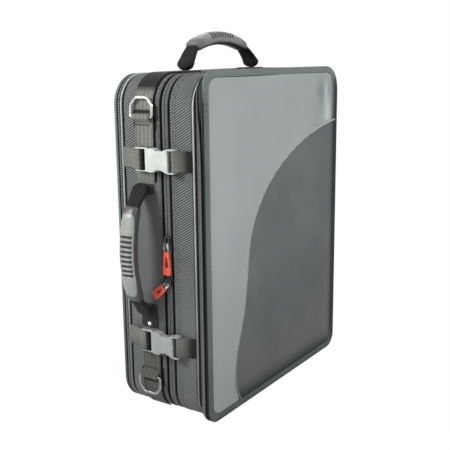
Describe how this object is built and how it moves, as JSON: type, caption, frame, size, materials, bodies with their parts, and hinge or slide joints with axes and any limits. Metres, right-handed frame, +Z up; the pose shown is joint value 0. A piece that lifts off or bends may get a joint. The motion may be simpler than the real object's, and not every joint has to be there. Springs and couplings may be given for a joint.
{
  "type": "oboe case",
  "caption": "Upright fabric-covered instrument case with a zip-round lid, side-release buckles, a flat front pocket and carrying handles on its side and top.",
  "frame": {"origin": "on the surface that the case stands on, under the middle of its width, and midway between its back face and its front skins", "axes": "+X to the right of the front, so that the wall with the buckles faces -X; +Y to the back; +Z up"},
  "size_m": [0.3687, 0.1328, 0.4591],
  "materials": {
    "ballistic_fabric": "dark grey ribbed nylon over a stiff foam board",
    "webbing": "woven nylon webbing",
    "binding_tape": "bound edge in greenish grey tape",
    "light_skin": "light grey coated cloth, satin",
    "dark_skin": "dark grey fine-woven nylon",
    "piping": "light grey extruded piping",
    "zip_tape": "black zip tape with moulded teeth",
    "plush": "short plush over foam",
    "buckle_plastic": "pale grey moulded plastic",
    "chrome": "bright plated wire",
    "slider_metal": "dull plated zinc",
    "grip_rubber": "grey moulded soft plastic",
    "handle_sleeve": "black coated webbing",
    "red_pull": "coral red moulded pull"
  },
  "bodies": {
    "back_half": {"back_shell": "ballistic_fabric", "back_panel": "ballistic_fabric", "back_binding": "binding_tape", "rear_piping": "piping", "zip_tape_back": "zip_tape", "spine_back": "binding_tape", "foam_tray": "plush", "side_webbing_upper": "webbing", "side_webbing_lower": "webbing", "upper_ring_loop": "webbing", "lower_ring_loop": "webbing", "side_foot_upper": "handle_sleeve", "side_foot_lower": "handle_sleeve", "side_handle_rivet": "chrome", "top_foot_left": "handle_sleeve", "top_foot_right": "handle_sleeve", "upper_back_strap": "webbing", "lower_back_strap": "webbing", "upper_male_buckle": "buckle_plastic", "lower_male_buckle": "buckle_plastic"},
    "lid": {"lid_shell": "ballistic_fabric", "lid_lining": "plush", "front_piping": "piping", "zip_tape_lid": "zip_tape", "spine_lid": "binding_tape", "pocket_wall": "ballistic_fabric", "upper_front_strap": "webbing", "lower_front_strap": "webbing", "upper_female_buckle": "buckle_plastic", "lower_female_buckle": "buckle_plastic"},
    "pocket": {"pocket_gusset": "ballistic_fabric", "pocket_board": "dark_skin", "light_panel": "light_skin", "dark_panel": "dark_skin", "seam_piping": "piping", "front_binding": "binding_tape"},
    "side_handle": {"side_handle_strap": "handle_sleeve", "side_handle_grip": "grip_rubber"},
    "top_handle": {"top_handle_strap": "handle_sleeve", "top_handle_grip": "grip_rubber"},
    "upper_ring": {"upper_d_ring": "chrome"},
    "lower_ring": {"lower_d_ring": "chrome"},
    "upper_zip_slider": {"upper_slider": "slider_metal"},
    "upper_pull": {"upper_pull_link": "slider_metal", "upper_pull_grip": "red_pull"},
    "lower_zip_slider": {"lower_slider": "slider_metal"},
    "lower_pull": {"lower_pull_link": "slider_metal", "lower_pull_grip": "red_pull"},
    "pocket_zip_slider": {"pocket_slider": "slider_metal"},
    "pocket_pull": {"pocket_pull_link": "slider_metal", "pocket_pull_grip": "handle_sleeve"},
    "upper_top_arm": {"upper_prong_top": "buckle_plastic"},
    "upper_bottom_arm": {"upper_prong_bottom": "buckle_plastic"},
    "lower_top_arm": {"lower_prong_top": "buckle_plastic"},
    "lower_bottom_arm": {"lower_prong_bottom": "buckle_plastic"}
  },
  "joints": [
    {"name": "lid_hinge", "type": "hinge", "parent": "back_half", "child": "lid", "pos_m": [0.1615, -0.0105, 0], "axis": [0, 0, 1], "range_deg": [0, 165]},
    {"name": "pocket_hinge", "type": "hinge", "parent": "lid", "child": "pocket", "pos_m": [0.1615, -0.05655, 0], "axis": [0, 0, 1], "range_deg": [0, 75]},
    {"name": "side_handle_tilt", "type": "hinge", "parent": "back_half", "child": "side_handle", "pos_m": [-0.1701, 0.0197, 0.2065], "axis": [0, 0, -1], "range_deg": [-40, 40]},
    {"name": "top_handle_tilt", "type": "hinge", "parent": "back_half", "child": "top_handle", "pos_m": [-0.006, 0.0197, 0.4186], "axis": [1, 0, 0], "range_deg": [-40, 40]},
    {"name": "upper_ring_swing", "type": "hinge", "parent": "back_half", "child": "upper_ring", "pos_m": [-0.1672, 0.0197, 0.363], "axis": [0, -1, 0], "range_deg": [0, 170]},
    {"name": "lower_ring_swing", "type": "hinge", "parent": "back_half", "child": "lower_ring", "pos_m": [-0.1672, 0.0197, 0.048], "axis": [0, 1, 0], "range_deg": [0, 170]},
    {"name": "upper_slider_travel", "type": "slide", "parent": "back_half", "child": "upper_zip_slider", "axis": [0, 0, 1], "range_m": [0, 0.07]},
    {"name": "lower_slider_travel", "type": "slide", "parent": "back_half", "child": "lower_zip_slider", "axis": [0, 0, -1], "range_m": [0, 0.034]},
    {"name": "pocket_slider_travel", "type": "slide", "parent": "lid", "child": "pocket_zip_slider", "axis": [1, 0, 0], "range_m": [-0.06, 0.1]},
    {"name": "upper_pull_lift", "type": "hinge", "parent": "upper_zip_slider", "child": "upper_pull", "pos_m": [-0.1652, -0.0105, 0.219], "axis": [0, 1, 0], "range_deg": [0, 110]},
    {"name": "lower_pull_lift", "type": "hinge", "parent": "lower_zip_slider", "child": "lower_pull", "pos_m": [-0.1652, -0.01108, 0.16945], "axis": [0, 0.6691, 0.7431], "range_deg": [0, 90]},
    {"name": "pocket_pull_lift", "type": "hinge", "parent": "pocket_zip_slider", "child": "pocket_pull", "pos_m": [-0.0297, -0.05655, 0.4137], "axis": [0, -1, 0], "range_deg": [0, 110]},
    {"name": "upper_prong_top_flex", "type": "hinge", "parent": "back_half", "child": "upper_top_arm", "pos_m": [-0.1694, 0.0032, 0.3244], "axis": [1, 0, 0], "range_deg": [0, 7], "stiffness_Nm_per_rad": 0.05},
    {"name": "upper_prong_bottom_flex", "type": "hinge", "parent": "back_half", "child": "upper_bottom_arm", "pos_m": [-0.1694, 0.0032, 0.3056], "axis": [-1, 0, 0], "range_deg": [0, 7], "stiffness_Nm_per_rad": 0.05},
    {"name": "lower_prong_top_flex", "type": "hinge", "parent": "back_half", "child": "lower_top_arm", "pos_m": [-0.1694, 0.0032, 0.1044], "axis": [1, 0, 0], "range_deg": [0, 7], "stiffness_Nm_per_rad": 0.05},
    {"name": "lower_prong_bottom_flex", "type": "hinge", "parent": "back_half", "child": "lower_bottom_arm", "pos_m": [-0.1694, 0.0032, 0.0856], "axis": [-1, 0, 0], "range_deg": [0, 7], "stiffness_Nm_per_rad": 0.05}
  ]
}
